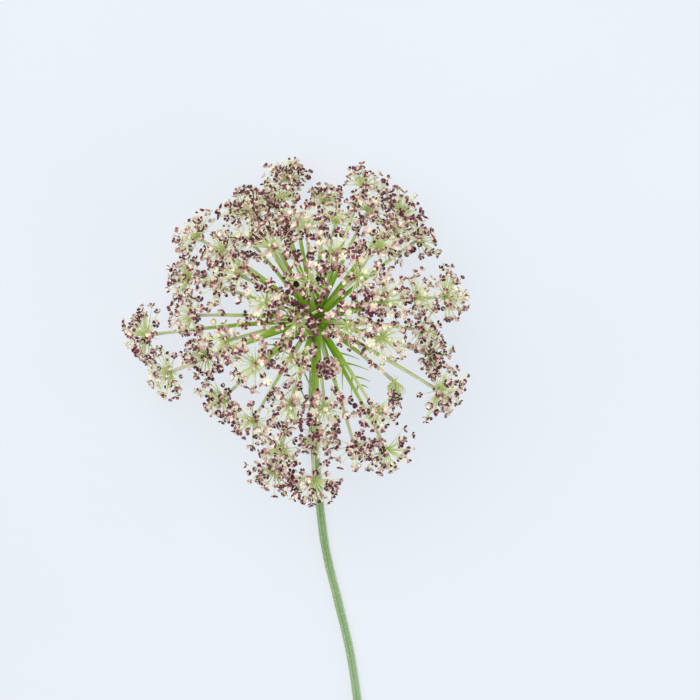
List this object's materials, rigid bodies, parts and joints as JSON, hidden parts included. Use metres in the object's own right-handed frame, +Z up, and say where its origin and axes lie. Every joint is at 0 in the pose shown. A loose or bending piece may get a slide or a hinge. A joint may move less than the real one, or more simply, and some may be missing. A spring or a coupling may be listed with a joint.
{
  "type": "cut queen annes lace flower",
  "caption": "Cut Queen Anne's lace flower lying on a surface: a domed compound umbel of tiny maroon and cream florets on a curved green stem",
  "frame": {"origin": "the middle of the object's box, on the surface that it lies on", "axes": "+Z up from the surface, +Y from the stem's cut end to the top of the flower head, +X to the right seen from above"},
  "size_m": [0.0894, 0.1754, 0.0629],
  "materials": {
    "stem": "hairy green stem with fine ridges, satin",
    "rays": "smooth fresh green rays, paler to the tips, satin",
    "bracts": "thin pale green leaf, satin",
    "maroon_florets": "maroon petals with cream middles on pale green stalks, soft matte",
    "cream_florets": "cream petals with a little maroon on pale green stalks, soft matte"
  },
  "bodies": {
    "root": {"stem": "stem", "involucre_bracts": "bracts", "umbel_rays": "rays", "umbellet_01": "maroon_florets", "umbellet_02": "maroon_florets", "umbellet_03": "maroon_florets", "umbellet_04": "maroon_florets", "umbellet_05": "maroon_florets", "umbellet_06": "maroon_florets", "umbellet_07": "maroon_florets", "umbellet_08": "maroon_florets", "umbellet_09": "cream_florets", "umbellet_10": "cream_florets", "umbellet_11": "maroon_florets", "umbellet_12": "maroon_florets", "umbellet_13": "maroon_florets", "umbellet_14": "maroon_florets", "umbellet_15": "maroon_florets", "umbellet_16": "maroon_florets", "umbellet_17": "maroon_florets", "umbellet_18": "maroon_florets", "umbellet_19": "maroon_florets", "umbellet_20": "maroon_florets", "umbellet_21": "maroon_florets", "umbellet_22": "maroon_florets", "umbellet_23": "maroon_florets", "umbellet_24": "maroon_florets", "umbellet_25": "cream_florets", "umbellet_26": "maroon_florets", "umbellet_27": "maroon_florets", "umbellet_28": "maroon_florets", "umbellet_29": "maroon_florets", "umbellet_30": "maroon_florets", "umbellet_31": "maroon_florets", "umbellet_32": "cream_florets", "umbellet_33": "maroon_florets", "umbellet_34": "maroon_florets", "umbellet_35": "maroon_florets", "umbellet_36": "maroon_florets", "umbellet_37": "maroon_florets", "umbellet_38": "maroon_florets", "umbellet_39": "maroon_florets", "umbellet_40": "maroon_florets", "umbellet_41": "cream_florets", "umbellet_42": "cream_florets", "umbellet_43": "cream_florets", "umbellet_44": "cream_florets", "umbellet_45": "maroon_florets", "umbellet_46": "cream_florets", "umbellet_47": "maroon_florets", "umbellet_48": "maroon_florets", "umbellet_49": "cream_florets", "umbellet_50": "cream_florets", "umbellet_51": "cream_florets", "umbellet_52": "maroon_florets", "umbellet_53": "cream_florets", "umbellet_54": "maroon_florets"}
  },
  "joints": []
}
